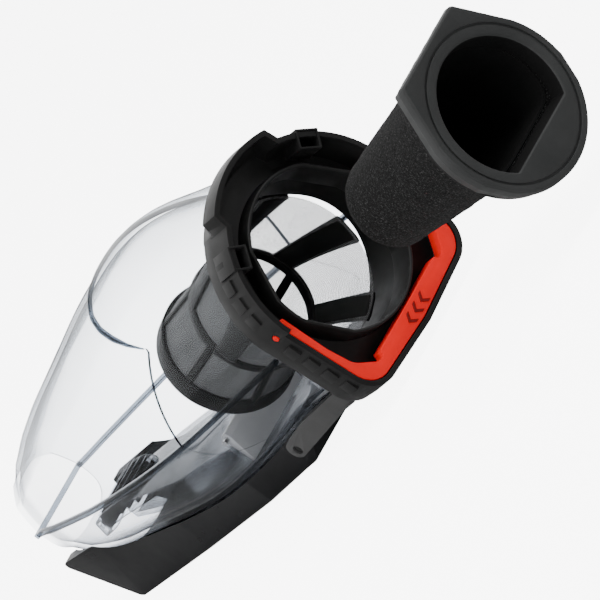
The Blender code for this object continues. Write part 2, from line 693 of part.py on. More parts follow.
def make_sleeve(fabric, liner):
    front = FLANGE_REAR_Y - FLANGE_DEPTH
    length = front - GAP - SLEEVE_END_Y

    def ring(share, shrink=0.0):
        y = front - GAP - length * share
        return [(x, y, z) for x, z in sleeve_section(share, shrink)]

    def end_ring(y, shrink):
        return [(x, y, z) for x, z in sleeve_section(1.0, shrink)]

    shares = (0.0, 0.25, 0.5, 0.75, 0.94)
    outer = [ring(share) for share in shares]
    outer += [end_ring(SLEEVE_END_Y + 1.8, 1.2), end_ring(SLEEVE_END_Y + 0.4, 3.6)]
    outer.append(end_ring(SLEEVE_END_Y, 7.0))
    inner = [ring(share, SLEEVE_WALL) for share in shares[:-1]]
    inner += [end_ring(SLEEVE_END_Y + SLEEVE_WALL + 3, SLEEVE_WALL + 0.4),
              end_ring(SLEEVE_END_Y + SLEEVE_WALL, 9.0)]
    add_object("filter_sleeve", loft(inner[::-1] + outer), fabric)
    core_out = [ring(share, SLEEVE_WALL + GAP) for share in CORE_LENGTH_SHARES]
    core_in = [ring(share, SLEEVE_WALL + GAP + CORE_WALL) for share in CORE_LENGTH_SHARES]
    add_object("sleeve_core", loft(core_out + core_in[::-1], closed=True), liner)


def flange_outline():
    """The flange's edge, anticlockwise from the bottom: round below, straight across the top."""
    half = []
    start = -math.pi / 2
    end = math.atan2(-22.6, 33.0)
    for step in range(9):
        angle = start + (end - start) * step / 8
        half.append((FLANGE_RADIUS * math.cos(angle), FLANGE_RADIUS * math.sin(angle)))
    half[0] = (0.0, -FLANGE_RADIUS)
    half.append((38.2, -11.0))
    for degrees in (-8, 0, 8, 16, 22):
        angle = math.radians(degrees)
        half.append((FLANGE_RADIUS * math.cos(angle), FLANGE_RADIUS * math.sin(angle)))
    half += [(24.6, FLANGE_TOP_Z - 1.0), (22.8, FLANGE_TOP_Z), (0.0, FLANGE_TOP_Z)]
    return densified(mirrored(half), 4.5)


def make_flange(satin, rubber):
    outline = flange_outline()
    rear = FLANGE_REAR_Y
    plate_front = rear - FLANGE_PLATE
    front = rear - FLANGE_DEPTH
    slim = inset(outline, 1.0)
    step_outline = inset(outline, 0.5)

    def hole(radius, flat_z):
        points = []
        for x, z in projected_circle(outline, 1.0):
            reach = radius
            if z < 0 and flat_z / z < radius:
                reach = flat_z / z
            points.append((x * reach, z * reach))
        return points

    groove_out = projected_circle(outline, GROOVE_OUTER_RADIUS)
    groove_in = projected_circle(outline, GROOVE_INNER_RADIUS)
    profile = ((outline, rear - 0.8), (slim, rear), (groove_out, rear), (groove_out, rear - 0.9),
               (groove_in, rear - 0.9), (groove_in, rear), (hole(32.6, -22.8), rear),
               (hole(31.0, -21.2), rear - 1.6), (hole(28.4, -17.2), front), (slim, front),
               (step_outline, plate_front), (outline, plate_front))
    rings = [[(x, y, z) for x, z in shape] for shape, y in profile]
    flange = add_object("filter_flange", loft(rings, closed=True), satin)
    seal_profile = ((38.2, front - GAP), (38.2, front - 1.2), (36.8, front - 1.2), (36.8, front - GAP))
    seal = [[(x, y, z) for x, z in circle(radius, 60)] for radius, y in seal_profile]
    add_object("flange_seal", loft(seal, closed=True), rubber)
    tabs = [block(x - 1.5, x + 1.5, front + 1.4, plate_front - 0.8, 37.0, FLANGE_TOP_Z + 0.8)
            for x in FLANGE_TAB_PLACES]
    combine(flange, add_tool("flange_tabs", merged(tabs), satin), "UNION")


def main():
    clear_scene()
    clear = make_material("clear_plastic", (0.82, 0.86, 0.88), 0.06, alpha=0.3, transmission=0.9)
    satin = make_material("black_satin", (0.018, 0.018, 0.02), 0.38)
    dark = make_material("black_shoe", (0.012, 0.012, 0.014), 0.45)
    gloss = make_material("gloss_flap", (0.55, 0.58, 0.60), 0.12)
    rubber = make_material("black_rubber", (0.015, 0.015, 0.015), 0.7)
    steel = make_material("pin_steel", (0.55, 0.56, 0.58), 0.3, metallic=1.0)
    mesh_grey = make_material("filter_mesh", (0.30, 0.31, 0.32), 0.55)
    red = make_material("red_bail", (0.93, 0.05, 0.04), 0.35)
    fabric = make_material("sleeve_fabric", (0.02, 0.02, 0.022), 0.9)
    liner = make_material("sleeve_liner", (0.01, 0.01, 0.01), 0.8)
    make_bowl(clear, rubber)
    make_flap(gloss, rubber, steel)
    make_bracket(satin, steel)
    make_shoe(dark, rubber)
    make_collar(satin, red)
    make_funnel(satin)
    make_basket(satin, mesh_grey)
    make_bail(red)
    make_sleeve(fabric, liner)
    make_flange(satin, rubber)


main()
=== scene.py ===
import math

import bmesh
import bpy
from mathutils import Matrix, Vector, noise


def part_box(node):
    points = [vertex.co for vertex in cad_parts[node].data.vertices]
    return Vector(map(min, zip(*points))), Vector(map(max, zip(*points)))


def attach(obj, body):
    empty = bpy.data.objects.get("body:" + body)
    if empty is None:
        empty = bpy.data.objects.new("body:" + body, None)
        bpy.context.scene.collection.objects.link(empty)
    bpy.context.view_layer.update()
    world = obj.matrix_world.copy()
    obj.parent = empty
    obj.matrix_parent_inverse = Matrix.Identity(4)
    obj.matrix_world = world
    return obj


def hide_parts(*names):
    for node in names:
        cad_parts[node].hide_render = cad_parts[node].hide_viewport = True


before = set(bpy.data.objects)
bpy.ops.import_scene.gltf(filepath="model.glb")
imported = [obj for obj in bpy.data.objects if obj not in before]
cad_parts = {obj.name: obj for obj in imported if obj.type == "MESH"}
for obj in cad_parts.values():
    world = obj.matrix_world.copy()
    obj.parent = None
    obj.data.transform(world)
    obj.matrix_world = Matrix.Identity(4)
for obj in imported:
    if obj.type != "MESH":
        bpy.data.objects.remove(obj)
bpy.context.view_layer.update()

# The looks of the dust container. Lengths are millimetres in the filter frame: origin at the centre
# of the cage's rear opening, +X across, +Y rearwards, +Z up. The frame says where that origin lies.
MM = 0.001
funnel_low, funnel_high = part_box("cage_funnel")
RIM = Vector(((funnel_low[0] + funnel_high[0]) / 2, funnel_high[1], (funnel_low[2] + funnel_high[2]) / 2))

BELT_Z = -9.0
BOWL_WALL = 2.2
DOME_POWER = 2.25
# Each station: y, half width, top of the dome, bottom of the tray, squareness of the tray
BOWL_STATIONS = (
    (-13, 45.8, 44.6, -45.2, 2.5),
    (-28, 47.6, 46.8, -44.2, 2.5),
    (-60, 51.8, 52.2, -43.4, 2.6),
    (-98, 56.0, 58.8, -46.6, 3.0),
    (-135, 54.6, 54.6, -48.6, 3.0),
    (-171, 49.6, 46.5, -46.4, 3.0),
    (-205, 42.4, 38.2, -42.8, 3.0),
    (-232, 34.6, 29.8, -40.6, 3.2),
    (-256, 27.2, 20.8, -35.4, 3.4),
    (-275, 20.4, 12.6, -26.4, 3.4),
)
SHOULDER_STEP = 1.5
NOSE_Y = BOWL_STATIONS[-1][0]
REAR_Y = BOWL_STATIONS[0][0]
OPENING_RADIUS = 37.0
COLLAR_RADIUS = 50.6
HOOD_RADIUS = 56.2
COLLAR_WALL = 2.4
BAIL_PIVOT = (-4.6, 0.0)
HOOP_STOP = (-72.0, 1.0, 6.0, 26.3)
CUP_STOP = (-106.0, -5.0, 15.0, 28.6)
SKIRT_STOP = (-27.0, 0.0, 0.0, 35.4)
SHOE_PIVOT = (-77.5, -47.0)
FLOOR_Z = -57.0
FLANGE_REAR_Y = 159.0
FLANGE_DEPTH = 10.0
SLEEVE_END_Y = 49.0


# ---------------------------------------------------------------- mesh helpers

def to_world(point):
    return RIM + Vector(point) * MM


def circle(radius, sides=128):
    return [(radius * math.cos(math.tau * step / sides), radius * math.sin(math.tau * step / sides))
            for step in range(sides)]


def rounded(corners, steps=8):
    """Rounds each (u, v, radius) corner of a closed outline with an arc."""
    outline = []
    total = len(corners)
    for index, (u, v, radius) in enumerate(corners):
        here = Vector((u, v))
        if radius <= 0:
            outline.append((u, v))
            continue
        before = (Vector(corners[index - 1][:2]) - here).normalized()
        after = (Vector(corners[(index + 1) % total][:2]) - here).normalized()
        half_angle = before.angle(after) / 2
        reach = radius / math.tan(half_angle)
        centre = here + (before + after).normalized() * (radius / math.sin(half_angle))
        start = here + before * reach - centre
        end = here + after * reach - centre
        for step in range(steps + 1):
            arm = start.lerp(end, step / steps).normalized() * radius
            outline.append(tuple(centre + arm))
    return outline


def mirrored(half):
    return half + [(-x, z) for x, z in reversed(half) if x > 0.01]


def densified(outline, longest):
    points = []
    for index, start in enumerate(outline):
        end = outline[(index + 1) % len(outline)]
        pieces = max(1, math.ceil(math.dist(start, end) / longest))
        for step in range(pieces):
            share = step / pieces
            points.append((start[0] + (end[0] - start[0]) * share, start[1] + (end[1] - start[1]) * share))
    return points


def inset(outline, distance):
    moved = []
    total = len(outline)
    for index in range(total):
        here = Vector(outline[index])
        before = (here - Vector(outline[index - 1])).normalized()
        after = (Vector(outline[(index + 1) % total]) - here).normalized()
        normal_before = Vector((-before.y, before.x))
        normal_after = Vector((-after.y, after.x))
        bisector = (normal_before + normal_after).normalized()
        moved.append(tuple(here + bisector * (distance / max(bisector.dot(normal_after), 0.5))))
    return moved


def projected_circle(outline, radius):
    points = []
    for x, z in outline:
        angle = math.atan2(z, x)
        points.append((radius * math.cos(angle), radius * math.sin(angle)))
    return points


def at_y(outline, y):
    return [(x, y, z) for x, z in outline]


def loft(rings, closed=False, capped=True):
    """Skins rings of equal length into (vertices, faces)."""
    count = len(rings[0])
    vertices = [point for ring in rings for point in ring]
    faces = []
    spans = len(rings) if closed else len(rings) - 1
    for ring_index in range(spans):
        low = ring_index * count
        high = ((ring_index + 1) % len(rings)) * count
        for index in range(count):
            following = (index + 1) % count
            faces.append([low + index, low + following, high + following, high + index])
    if capped and not closed:
        faces.append(list(range(count))[::-1])
        faces.append([(len(rings) - 1) * count + index for index in range(count)])
    return vertices, faces


def along_y(outline, low, high):
    return loft([at_y(outline, low), at_y(outline, high)])


def along_x(outline, low, high):
    return loft([[(low, y, z) for y, z in outline], [(high, y, z) for y, z in outline]])


def block(x_low, x_high, y_low, y_high, z_low, z_high):
    return along_y([(x_low, z_low), (x_high, z_low), (x_high, z_high), (x_low, z_high)], y_low, y_high)


def rod_x(centre, radius, low, high, sides=40):
    return along_x([(centre[0] + y, centre[1] + z) for y, z in circle(radius, sides)], low, high)


def merged(parts):
    vertices = []
    faces = []
    for part_vertices, part_faces in parts:
        start = len(vertices)
        vertices.extend(part_vertices)
        faces.extend([[index + start for index in face] for face in part_faces])
    return vertices, faces


def new_object(name, mesh_data, sharp=34.0):
    vertices, faces = mesh_data
    mesh = bpy.data.meshes.new(name)
    mesh.from_pydata([tuple(to_world(point)) for point in vertices], [], faces)
    shape = bmesh.new()
    shape.from_mesh(mesh)
    bmesh.ops.recalc_face_normals(shape, faces=shape.faces)
    shape.to_mesh(mesh)
    shape.free()
    mesh.shade_smooth()
    mesh.set_sharp_from_angle(angle=math.radians(sharp))
    piece = bpy.data.objects.new(name, mesh)
    bpy.context.scene.collection.objects.link(piece)
    return piece


def cut(piece, mesh_data, operation="DIFFERENCE"):
    """Applies one Boolean and removes its tool."""
    tool = new_object("tool", mesh_data)
    modifier = piece.modifiers.new("cut", "BOOLEAN")
    modifier.operation = operation
    modifier.solver = "EXACT"
    modifier.object = tool
    apply_modifiers(piece)
    bpy.data.objects.remove(tool, do_unlink=True)


def apply_modifiers(piece):
    graph = bpy.context.evaluated_depsgraph_get()
    graph.update()
    final = bpy.data.meshes.new_from_object(piece.evaluated_get(graph))
    piece.modifiers.clear()
    piece.data = final


def finish_piece(piece, material, body, replaces=(), bevel=0.0, sharp=34.0, segments=3):
    """Bevels, shades and paints a piece, and lets it ride on its body."""
    if bevel:
        modifier = piece.modifiers.new("bevel", "BEVEL")
        modifier.width = bevel * MM
        modifier.segments = segments
        modifier.limit_method = "ANGLE"
        modifier.angle_limit = math.radians(32)
        modifier.use_clamp_overlap = True
        apply_modifiers(piece)
    piece.data.shade_smooth()
    piece.data.set_sharp_from_angle(angle=math.radians(sharp))
    if material is not None:
        piece.data.materials.clear()
        piece.data.materials.append(material)
    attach(piece, body)
    if replaces:
        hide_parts(*replaces)
    return piece


# ---------------------------------------------------------------- materials

def new_material(name):
    material = bpy.data.materials.new(name)
    material.use_nodes = True
    nodes = material.node_tree.nodes
    shader = nodes["Principled BSDF"]
    return material, nodes, material.node_tree.links, shader


def noise_node(nodes, links, scale, detail=4.0, roughness=0.55, stretch=None):
    place = nodes.new("ShaderNodeTexCoord")
    texture = nodes.new("ShaderNodeTexNoise")
    texture.inputs["Scale"].default_value = scale
    texture.inputs["Detail"].default_value = detail
    texture.inputs["Roughness"].default_value = roughness
    source = place.outputs["Object"]
    if stretch:
        mapping = nodes.new("ShaderNodeMapping")
        mapping.inputs["Scale"].default_value = stretch
        links.new(source, mapping.inputs["Vector"])
        source = mapping.outputs["Vector"]
    links.new(source, texture.inputs["Vector"])
    return texture


def ramp_node(nodes, links, source, stops):
    ramp = nodes.new("ShaderNodeValToRGB")
    elements = ramp.color_ramp.elements
    while len(elements) < len(stops):
        elements.new(0.5)
    for element, (place, colour) in zip(elements, stops):
        element.position = place
        element.color = (*colour, 1.0) if len(colour) == 3 else colour
    links.new(source, ramp.inputs["Fac"])
    return ramp


def grey(value):
    return (value, value, value)


def moulded(name, dark, light, rough, grain=0.05, grain_scale=2600.0, rough_spread=0.08, coat=0.0,
             specular=0.09):
    """Injection-moulded plastic: faint cloudy colour, a fine spark-eroded grain, and rubbed patches."""
    material, nodes, links, shader = new_material(name)
    cloud = noise_node(nodes, links, 38.0, 5.0)
    colour = ramp_node(nodes, links, cloud.outputs["Fac"], ((0.35, dark), (0.7, light)))
    links.new(colour.outputs["Color"], shader.inputs["Base Color"])
    rub = noise_node(nodes, links, 90.0, 6.0)
    spread = ramp_node(nodes, links, rub.outputs["Fac"],
                       ((0.3, grey(rough - rough_spread)), (0.7, grey(rough + rough_spread))))
    links.new(spread.outputs["Color"], shader.inputs["Roughness"])
    fine = noise_node(nodes, links, grain_scale, 2.0)
    bump = nodes.new("ShaderNodeBump")
    bump.inputs["Strength"].default_value = grain
    bump.inputs["Distance"].default_value = 0.0001
    links.new(fine.outputs["Fac"], bump.inputs["Height"])
    links.new(bump.outputs["Normal"], shader.inputs["Normal"])
    shader.inputs["Specular IOR Level"].default_value = specular
    if coat:
        shader.inputs["Coat Weight"].default_value = coat
        shader.inputs["Coat Roughness"].default_value = 0.12
    return material


def clear_plastic(name, facing, grazing, shine=1.0, shade=(0.93, 0.95, 0.98)):
    """Thin clear plastic: what is behind shows through, tinted more where the wall is seen edge on."""
    material, nodes, links, shader = new_material(name)
    weight = nodes.new("ShaderNodeLayerWeight")
    weight.inputs["Blend"].default_value = 0.5
    middle = tuple(0.8 * a + 0.2 * b for a, b in zip(facing, grazing))
    tint = ramp_node(nodes, links, weight.outputs["Facing"], ((0.0, facing), (0.72, middle), (0.98, grazing)))
    see_through = nodes.new("ShaderNodeBsdfTransparent")
    links.new(tint.outputs["Color"], see_through.inputs["Color"])
    shader.inputs["Base Color"].default_value = (*shade, 1.0)
    shader.inputs["Metallic"].default_value = 1.0
    swirl = noise_node(nodes, links, 24.0, 3.0)
    smear = ramp_node(nodes, links, swirl.outputs["Fac"], ((0.35, grey(0.03)), (0.75, grey(0.12))))
    links.new(smear.outputs["Color"], shader.inputs["Roughness"])
    share = ramp_node(nodes, links, weight.outputs["Facing"],
                      ((0.0, grey(0.004 * shine)), (0.5, grey(0.009 * shine)), (0.72, grey(0.07 * shine)),
                       (0.88, grey(0.36 * shine)), (1.0, grey(0.75 * shine))))
    mix = nodes.new("ShaderNodeMixShader")
    links.new(share.outputs["Color"], mix.inputs["Fac"])
    links.new(see_through.outputs["BSDF"], mix.inputs[1])
    links.new(shader.outputs["BSDF"], mix.inputs[2])
    links.new(mix.outputs["Shader"], nodes["Material Output"].inputs["Surface"])
    return material


def mesh_screen(name):
    """Fine woven filter screen: half open, with a faint straight weave."""
    material, nodes, links, shader = new_material(name)
    place = nodes.new("ShaderNodeTexCoord")
    weave = nodes.new("ShaderNodeTexWave")
    weave.wave_type = "BANDS"
    weave.bands_direction = "DIAGONAL"
    weave.inputs["Scale"].default_value = 900.0
    weave.inputs["Distortion"].default_value = 0.6
    links.new(place.outputs["Object"], weave.inputs["Vector"])
    cloud = noise_node(nodes, links, 60.0, 5.0, stretch=(1.0, 0.25, 1.0))
    colour = ramp_node(nodes, links, cloud.outputs["Fac"],
                       ((0.3, (0.14, 0.142, 0.146)), (0.75, (0.34, 0.345, 0.35))))
    links.new(colour.outputs["Color"], shader.inputs["Base Color"])
    shader.inputs["Roughness"].default_value = 0.5
    openness = ramp_node(nodes, links, weave.outputs["Fac"], ((0.2, grey(0.34)), (0.8, grey(0.62))))
    links.new(openness.outputs["Color"], shader.inputs["Alpha"])
    return material


def felt(name):
    """Dense black felt: matte, speckled, with faint wandering ridges."""
    material, nodes, links, shader = new_material(name)
    speck = noise_node(nodes, links, 1300.0, 3.0, 0.7)
    colour = ramp_node(nodes, links, speck.outputs["Fac"],
                       ((0.42, grey(0.002)), (0.56, grey(0.010)), (0.74, grey(0.10))))
    links.new(colour.outputs["Color"], shader.inputs["Base Color"])
    shader.inputs["Roughness"].default_value = 0.9
    shader.inputs["Specular IOR Level"].default_value = 0.05
    shader.inputs["Sheen Weight"].default_value = 0.03
    shader.inputs["Sheen Roughness"].default_value = 0.5
    ridge = nodes.new("ShaderNodeTexWave")
    ridge.wave_type = "RINGS"
    ridge.rings_direction = "SPHERICAL"
    ridge.inputs["Scale"].default_value = 300.0
    ridge.inputs["Distortion"].default_value = 7.0
    ridge.inputs["Detail"].default_value = 4.0
    ridge.inputs["Detail Scale"].default_value = 2.4
    place = nodes.new("ShaderNodeTexCoord")
    links.new(place.outputs["Object"], ridge.inputs["Vector"])
    add = nodes.new("ShaderNodeMath")
    add.operation = "MULTIPLY_ADD"
    add.inputs[1].default_value = 0.4
    links.new(ridge.outputs["Fac"], add.inputs[0])
    links.new(speck.outputs["Fac"], add.inputs[2])
    bump = nodes.new("ShaderNodeBump")
    bump.inputs["Strength"].default_value = 0.75
    bump.inputs["Distance"].default_value = 0.0005
    links.new(add.outputs[0], bump.inputs["Height"])
    links.new(bump.outputs["Normal"], shader.inputs["Normal"])
    return material


def brushed_metal(name):
    material, nodes, links, shader = new_material(name)
    shader.inputs["Metallic"].default_value = 1.0
    streak = noise_node(nodes, links, 900.0, 3.0, stretch=(0.04, 1.0, 1.0))
    colour = ramp_node(nodes, links, streak.outputs["Fac"], ((0.3, grey(0.42)), (0.7, grey(0.62))))
    links.new(colour.outputs["Color"], shader.inputs["Base Color"])
    rough = ramp_node(nodes, links, streak.outputs["Fac"], ((0.3, grey(0.22)), (0.7, grey(0.4))))
    links.new(rough.outputs["Color"], shader.inputs["Roughness"])
    return material


CLEAR = clear_plastic("clear_bowl", (0.975, 0.98, 0.985), (0.17, 0.195, 0.23), 0.9)
CLEAR_TRAY = clear_plastic("clear_tray", (0.945, 0.95, 0.96), (0.14, 0.16, 0.19), 1.1)
# The edge tint is painted shade: a near-black tint on the clear plastic stands in for the dark lines that
# light draws along the bowl's thick edges.
CLEAR_EDGE_SHADE = clear_plastic("clear_edge_painted_shade", (0.035, 0.042, 0.052), (0.006, 0.008, 0.011), 1.0)
CLEAR_VANE = clear_plastic("clear_vane", (0.88, 0.89, 0.905), (0.07, 0.08, 0.095), 1.3)
# The brow tint is painted shade: a grey tint on the clear bead stands in for the dark line that light draws
# along it.
CLEAR_BROW_SHADE = clear_plastic("clear_brow_painted_shade", (0.30, 0.33, 0.37), (0.02, 0.024, 0.03), 1.1)
# The rib tint is painted shade: a grey tint on the clear rim stands in for the dark line that light draws
# along it.
CLEAR_RIB_SHADE = clear_plastic("clear_rib_painted_shade", (0.40, 0.43, 0.47), (0.02, 0.024, 0.03), 1.3)
SATIN = moulded("black_satin", (0.009, 0.009, 0.009), (0.015, 0.015, 0.015), 0.38)
SHOE = moulded("black_shoe", (0.005, 0.005, 0.006), (0.010, 0.010, 0.011), 0.34)
FLANGE = moulded("flange_grey", (0.026, 0.027, 0.027), (0.036, 0.037, 0.037), 0.48, grain=0.08)
BRACKET = moulded("bracket_grey", (0.060, 0.060, 0.060), (0.082, 0.082, 0.082), 0.46)
RUBBER = moulded("black_rubber", (0.008, 0.008, 0.008), (0.018, 0.018, 0.018), 0.68, grain=0.15)
RED = moulded("red_bail", (0.86, 0.010, 0.008), (0.95, 0.016, 0.012), 0.42, grain=0.04)
# The dark red is painted shade: the raised chevrons are the bail's own red plastic, darkened where the
# embossing is shaded.
RED_SHADE = moulded("red_mark_painted_shade", (0.16, 0.006, 0.006), (0.24, 0.012, 0.01), 0.45)
GLOSS = moulded("gloss_flap", (0.78, 0.79, 0.81), (0.92, 0.93, 0.94), 0.12, grain=0.0, rough_spread=0.05,
                specular=0.5)
LINER = moulded("sleeve_liner", (0.003, 0.003, 0.003), (0.006, 0.006, 0.006), 0.75)
SCREEN = mesh_screen("filter_mesh")
FELT = felt("sleeve_felt")
STEEL = brushed_metal("pin_steel")


# ---------------------------------------------------------------- clear bowl

def station_value(y, column):
    """Smoothly reads one column of the bowl's stations at y."""
    for index in range(len(BOWL_STATIONS) - 1):
        if BOWL_STATIONS[index + 1][0] <= y:
            break
    index = min(index, len(BOWL_STATIONS) - 2)
    points = [BOWL_STATIONS[max(0, min(len(BOWL_STATIONS) - 1, index + shift))] for shift in (-1, 0, 1, 2)]
    share = (y - points[1][0]) / (points[2][0] - points[1][0])
    before, start, end, after = [point[column] for point in points]
    return 0.5 * (2 * start + (end - before) * share
                  + (2 * before - 5 * start + 4 * end - after) * share ** 2
                  + (3 * start - before - 3 * end + after) * share ** 3)


CREASE_ANGLES = (0.0, 38.0, 68.0, 112.0, 142.0, 180.0)


def oval(angle, half_width, height, power):
    across = math.cos(angle)
    up = abs(math.sin(angle))
    x = half_width * math.copysign(abs(across) ** (2 / power), across)
    return Vector((x, height * up ** (2 / power)))


def bowl_point(y, angle, upper, grow=0.0, place_y=None):
    """A point of the bowl's surface; angle runs over (or under) from +X to -X."""
    half_width = station_value(y, 1) + grow
    if upper:
        height = station_value(y, 2) - BELT_Z + grow
        power = DOME_POWER
    else:
        height = station_value(y, 3) - BELT_Z - grow
        power = station_value(y, 4)
    point = oval(angle, half_width, height, power)
    crease = min(1.0, max(0.0, (-112.0 - y) / 90.0)) * 0.62
    if upper and crease > 0:
        degrees = math.degrees(angle)
        for low, high in zip(CREASE_ANGLES, CREASE_ANGLES[1:]):
            if low <= degrees <= high:
                share = (degrees - low) / (high - low)
                start = oval(math.radians(low), half_width, height, power)
                end = oval(math.radians(high), half_width, height, power)
                point = point.lerp(start.lerp(end, share), crease)
                break
    return (point.x, y if place_y is None else place_y, BELT_Z + point.y)


# The shoulder's edge: degrees up from the belt, and y
SHOULDER_EDGE = ((0, -102.0), (35, -74.0), (41, -83.5), (47, -91.0), (54, -98.0), (62, -103.5), (75, -108.0),
                 (90, -108.6))


def shoulder_y(angle):
    """Where the shoulder's edge runs: a round brow over the top, and a straight line down each side."""
    degrees = math.degrees(angle)
    side = min(degrees, 180 - degrees)
    for (low, start), (high, end) in zip(SHOULDER_EDGE, SHOULDER_EDGE[1:]):
        if side <= high:
            return start + (end - start) * (side - low) / (high - low)
    return SHOULDER_EDGE[-1][1]


def brow_width(angle):
    """The slope of the shoulder's edge is wide over the top and thin down each side."""
    degrees = math.degrees(angle)
    side = min(degrees, 180 - degrees)
    return 0.4 + 2.6 * min(1.0, max(0.0, (side - 33) / 12))


def half_bowl(name, upper, clear, body_nodes):
    """One half of the bowl: outer skin with its shoulder step, inner skin, and the belt's edge."""
    steps = 96
    angles = [math.pi * step / steps for step in range(steps + 1)]
    outer = []
    for share in [step / 14 for step in range(15)]:
        outer.append([bowl_point(REAR_Y + (shoulder_y(a) - REAR_Y) * share, a, upper, SHOULDER_STEP * upper)
                      for a in angles])
    edge_row = len(outer) - 1
    for share in [step / 34 for step in range(35)]:
        row = []
        for a in angles:
            start = shoulder_y(a) - (brow_width(a) if upper else 0.4)
            row.append(bowl_point(start + (NOSE_Y - start) * share, a, upper))
        outer.append(row)
    inner = []
    for share in [step / 48 for step in range(49)]:
        y = REAR_Y + (NOSE_Y + BOWL_WALL - REAR_Y) * share
        row = []
        for a in angles:
            x, _, z = bowl_point(y, a, upper, -BOWL_WALL)
            row.append((x, y, z))
        inner.append(row)
    rows = outer + inner[::-1]
    count = steps + 1
    vertices = [point for row in rows for point in row]
    faces = []
    kinds = []
    for row_index in range(len(rows) - 1):
        for index in range(steps):
            low = row_index * count + index
            high = low + count
            faces.append([low, low + 1, high + 1, high])
            kinds.append(1 if row_index == edge_row else 0)
    last = (len(rows) - 1) * count
    for index in range(steps):
        faces.append([index, index + 1, last + index + 1, last + index])
        kinds.append(1)
    sides = []
    for side in (0, steps):
        for row_index in range(len(outer) - 1):
            inner_row = len(rows) - 1 - round(row_index * (len(inner) - 1) / (len(outer) - 1))
            inner_next = len(rows) - 1 - round((row_index + 1) * (len(inner) - 1) / (len(outer) - 1))
            face = [row_index * count + side, (row_index + 1) * count + side,
                    inner_next * count + side, inner_row * count + side]
            if inner_next == inner_row:
                face = face[:3]
            sides.append(face)
    faces.extend(sides)
    kinds.extend([1] * len(sides))
    piece = new_object(name, (vertices, faces), 24.0)
    # Kind 1 faces (the shoulder's step, the rear rim and the side faces along the belt) take the near-black
    # edge tint: painted shade along the edges.
    for face, kind in zip(piece.data.polygons, kinds):
        face.material_index = kind
    piece.data.materials.append(clear)
    piece.data.materials.append(CLEAR_EDGE_SHADE)
    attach(piece, "bowl")
    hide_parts(*body_nodes)
    return piece


def belt_rim():
    """The thick clear rim where the dome meets the tray."""
    rings = []
    count = 60
    for side in (1, -1):
        ring_rows = []
        for step in range(count + 1):
            y = -24.0 + (NOSE_Y + 24.0) * step / count
            x = station_value(y, 1)
            ring_rows.append([(side * (x - 1.4), y, BELT_Z - 1.2), (side * (x + 1.3), y, BELT_Z - 1.2),
                              (side * (x + 1.7), y, BELT_Z), (side * (x + 1.3), y, BELT_Z + 1.2),
                              (side * (x - 1.4), y, BELT_Z + 1.2)])
        rings.append(loft(ring_rows))
    half = station_value(NOSE_Y, 1) + 1.6
    rings.append(block(-half, half, NOSE_Y - 1.6, NOSE_Y - 0.1, BELT_Z - 1.2, BELT_Z + 1.2))
    piece = new_object("belt_rim", merged(rings))
    # The rim takes the grey rib tint: painted shade along the belt.
    finish_piece(piece, CLEAR_RIB_SHADE, "bowl", bevel=0.3, segments=2)


BROW_ENDS = (36.0, 144.0)
BROW_HALF_WIDTH = 1.5
BROW_HALF_HEIGHT = 0.9


def shoulder_brow():
    """The thick clear bead along the shoulder's brow, thinning out towards each side's straight edge."""
    steps = 108
    sides = 14
    first, last = BROW_ENDS
    angles = [math.radians(first + (last - first) * step / steps) for step in range(steps + 1)]
    path = [Vector(bowl_point(shoulder_y(angle) - BROW_HALF_WIDTH, angle, True, 0.5)) for angle in angles]
    rings = []
    for index, angle in enumerate(angles):
        along = (path[min(steps, index + 1)] - path[max(0, index - 1)]).normalized()
        raised = Vector(bowl_point(path[index].y, angle, True, 3.0))
        out = (raised - path[index]).normalized()
        across = along.cross(out).normalized()
        out = across.cross(along).normalized()
        full = min(1.0, 0.25 + min(index, steps - index) / 14)
        ring = []
        for side in range(sides):
            turn = math.tau * side / sides
            ring.append(tuple(path[index] + across * (BROW_HALF_WIDTH * full * math.cos(turn))
                              + out * (BROW_HALF_HEIGHT * full * math.sin(turn))))
        rings.append(ring)
    # The bead takes the grey brow tint: painted shade along the shoulder's brow.
    finish_piece(new_object("shoulder_brow", loft(rings)), CLEAR_BROW_SHADE, "bowl")


# Each station: y, half width, underside, top side
DUCT_STATIONS = (
    (-231, 13.0, -33.6, -24.0),
    (-205, 19.0, -37.4, -26.0),
    (-172, 25.0, -40.6, -28.6),
    (-129, 27.0, -43.0, -30.5),
)
DUCT_WALL = 1.5
VANE_CENTRE_Y = -239.0
VANE_REACH = 25.0
VANE_HALF_WIDTH = 14.5
# The vanes' oval wall: how wide each ring is, and how far it lies under the crest
VANE_WALL = ((1.12, 7.0), (1.06, 0.0), (0.94, 0.0), (0.94, 7.0))
CROSS_RIB_COUNT = 8
CROSS_RIB_PITCH = 5.4
LONG_RIB_PLACES = (-9.0, -3.0, 3.0, 9.0)


def vane_crest(y):
    """Height of the guide vanes' top edge, arched lengthwise."""
    share = (y - VANE_CENTRE_Y) / VANE_REACH
    return -27.5 + 6.0 * (1 - min(1.0, share * share))


